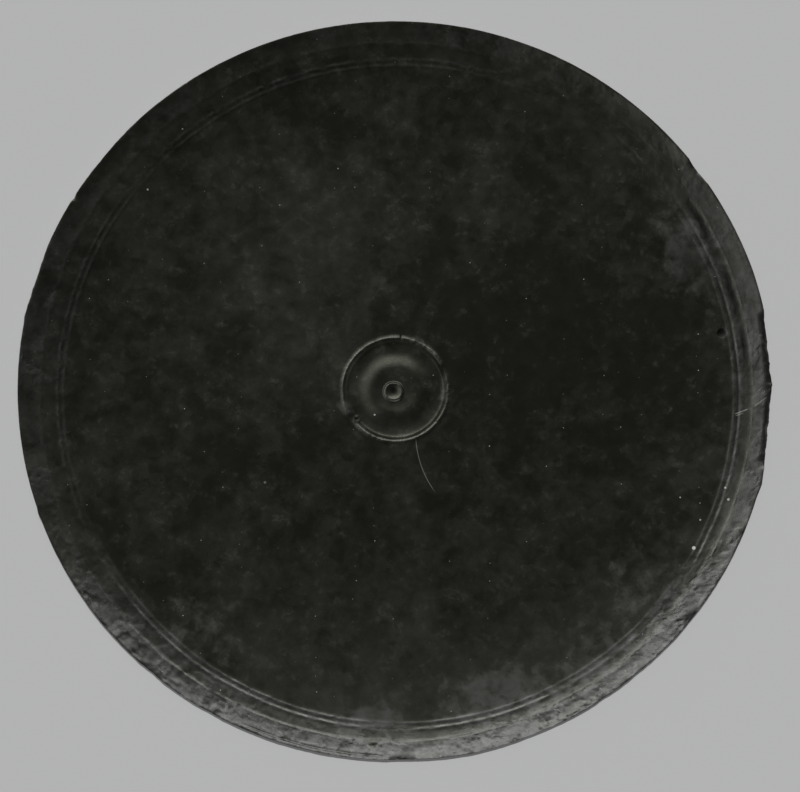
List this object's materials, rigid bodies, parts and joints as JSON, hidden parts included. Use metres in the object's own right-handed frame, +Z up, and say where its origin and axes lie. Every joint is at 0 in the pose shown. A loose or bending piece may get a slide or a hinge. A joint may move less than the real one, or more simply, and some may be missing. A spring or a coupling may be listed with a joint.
{
  "type": "bronze mirror",
  "caption": "Round cast bronze hand mirror disc lying on its polished face, its dished back up, with a moulded rim and a ringed boss turned round a small hollow knob.",
  "frame": {"origin": "on the table under the middle of the disc, at the bottom of its bounding box, where the polished face touches", "axes": "+Z up through the middle of the boss, out of the dished back; -Y towards the side that the main view looks from; +X to that view's right"},
  "size_m": [0.18, 0.1796, 0.0061],
  "materials": {
    "bronze": "dark olive-black patina, half glossy, worn paler and gritty on the rim"
  },
  "bodies": {
    "root": {"mirror_disc": "bronze"}
  },
  "joints": []
}
